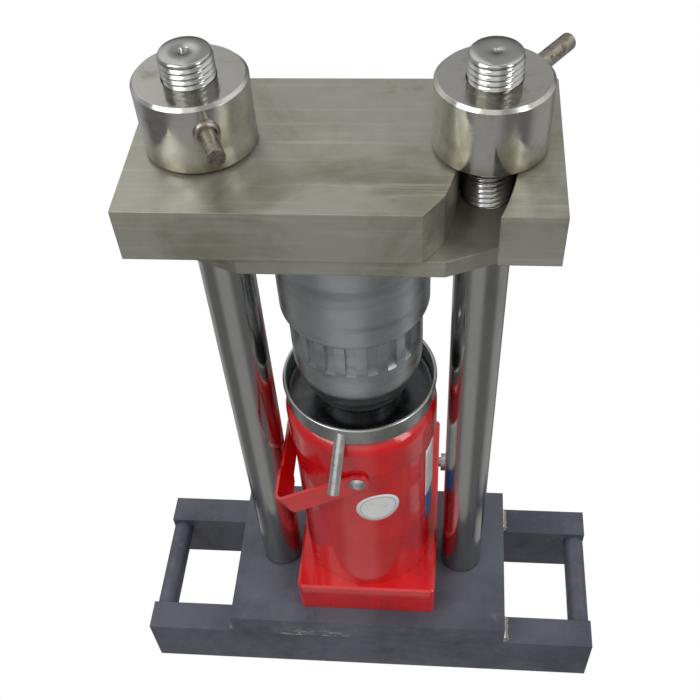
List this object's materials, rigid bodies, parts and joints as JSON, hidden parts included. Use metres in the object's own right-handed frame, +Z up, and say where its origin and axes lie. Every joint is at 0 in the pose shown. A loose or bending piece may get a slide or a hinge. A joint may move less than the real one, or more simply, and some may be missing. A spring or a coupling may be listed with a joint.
{
  "type": "hydraulic oil press",
  "caption": "Hand hydraulic oil press: a bottle jack between two columns lifts a piston into a fluted barrel under a swing beam with two round nuts.",
  "frame": {"origin": "middle of the bounding box's footprint, on the floor", "axes": "+X along the two rails to the operator's right, +Y from the oil spout's side to the pump's side, +Z up along the press axis"},
  "size_m": [0.432, 0.228, 0.6292],
  "materials": {
    "frame_paint": "semi-gloss dark grey paint",
    "chrome_plate": "polished hard chrome",
    "nut_steel": "turned steel with a yellowish film of oil",
    "ground_steel": "ground steel plate, stained",
    "turned_steel": "lathe-turned steel",
    "jack_paint": "gloss red enamel",
    "tray_steel": "pressed steel sheet",
    "zinc_plate": "bright zinc plate",
    "dark_steel": "blackened steel",
    "seal_rubber": "matt black rubber",
    "weld_metal": "bare weld"
  },
  "bodies": {
    "frame": {"front_rail": "frame_paint", "rear_rail": "frame_paint", "left_handle_bar": "frame_paint", "right_handle_bar": "frame_paint", "base_plate": "frame_paint", "weld_beads": "weld_metal", "left_column": "chrome_plate", "right_column": "chrome_plate", "column_foot_nuts": "zinc_plate", "flange_plate": "ground_steel", "barrel_jacket": "turned_steel", "press_barrel": "turned_steel", "jack_base": "jack_paint", "inner_cylinder": "dark_steel", "jack_tank": "jack_paint", "jack_top_cap": "jack_paint", "gland_seal": "seal_rubber", "oil_tray": "tray_steel", "oil_spout": "zinc_plate", "bail_rivets": "zinc_plate", "pump_cylinder": "dark_steel", "lug_pin": "zinc_plate", "filler_plug": "seal_rubber"},
    "beam": {"top_beam": "ground_steel"},
    "left_nut": {"left_nut": "nut_steel", "left_tommy_bar": "nut_steel"},
    "right_nut": {"right_nut": "nut_steel", "right_tommy_bar": "nut_steel"},
    "ram": {"ram": "chrome_plate", "ram_seal": "seal_rubber", "press_piston": "turned_steel", "piston_ring": "dark_steel"},
    "bail": {"bail_handle": "jack_paint"},
    "plunger": {"pump_plunger": "chrome_plate"},
    "socket": {"handle_socket": "jack_paint", "socket_pins": "zinc_plate"},
    "links": {"pump_links": "dark_steel"},
    "valve": {"release_valve": "zinc_plate"}
  },
  "joints": [
    {"name": "beam_swing", "type": "hinge", "parent": "frame", "child": "beam", "pos_m": [-0.0885, -0.02603, 0.5323], "axis": [0, 0, 1], "range_deg": [0, 180]},
    {"name": "left_nut_turn", "type": "hinge", "parent": "frame", "child": "left_nut", "pos_m": [-0.0885, -0.02603, 0.5686], "axis": [0, 0, 1], "range_deg": [0, 540]},
    {"name": "right_nut_turn", "type": "hinge", "parent": "frame", "child": "right_nut", "pos_m": [0.0885, -0.02603, 0.5686], "axis": [0, 0, 1], "range_deg": [0, 540]},
    {"name": "ram_lift", "type": "slide", "parent": "frame", "child": "ram", "axis": [0, 0, 1], "range_m": [0, 0.11]},
    {"name": "pump_stroke", "type": "slide", "parent": "frame", "child": "plunger", "axis": [0, 0, 1], "range_m": [-0.01854, 0]},
    {"name": "socket_rock", "type": "hinge", "parent": "plunger", "child": "socket", "pos_m": [0, 0.07347, 0.222], "axis": [1, 0, 0], "range_deg": [-36, 0]},
    {"name": "link_swing", "type": "hinge", "parent": "socket", "child": "links", "pos_m": [0, 0.04494, 0.21273], "axis": [1, 0, 0], "range_deg": [0, 36]},
    {"name": "release_valve_turn", "type": "hinge", "parent": "frame", "child": "valve", "pos_m": [0.064, 0.07397, 0.107], "axis": [1, 0, 0], "range_deg": [0, 540]},
    {"name": "bail_swing", "type": "hinge", "parent": "frame", "child": "bail", "pos_m": [0, -0.02603, 0.2956], "axis": [0, 1, 0], "range_deg": [-0.4, 0.5]}
  ],
  "couplings": [
    {"joint": "pump_stroke", "follows": "socket_rock", "m_per_rad": 0.0295},
    {"joint": "link_swing", "follows": "socket_rock", "ratio": -1}
  ]
}
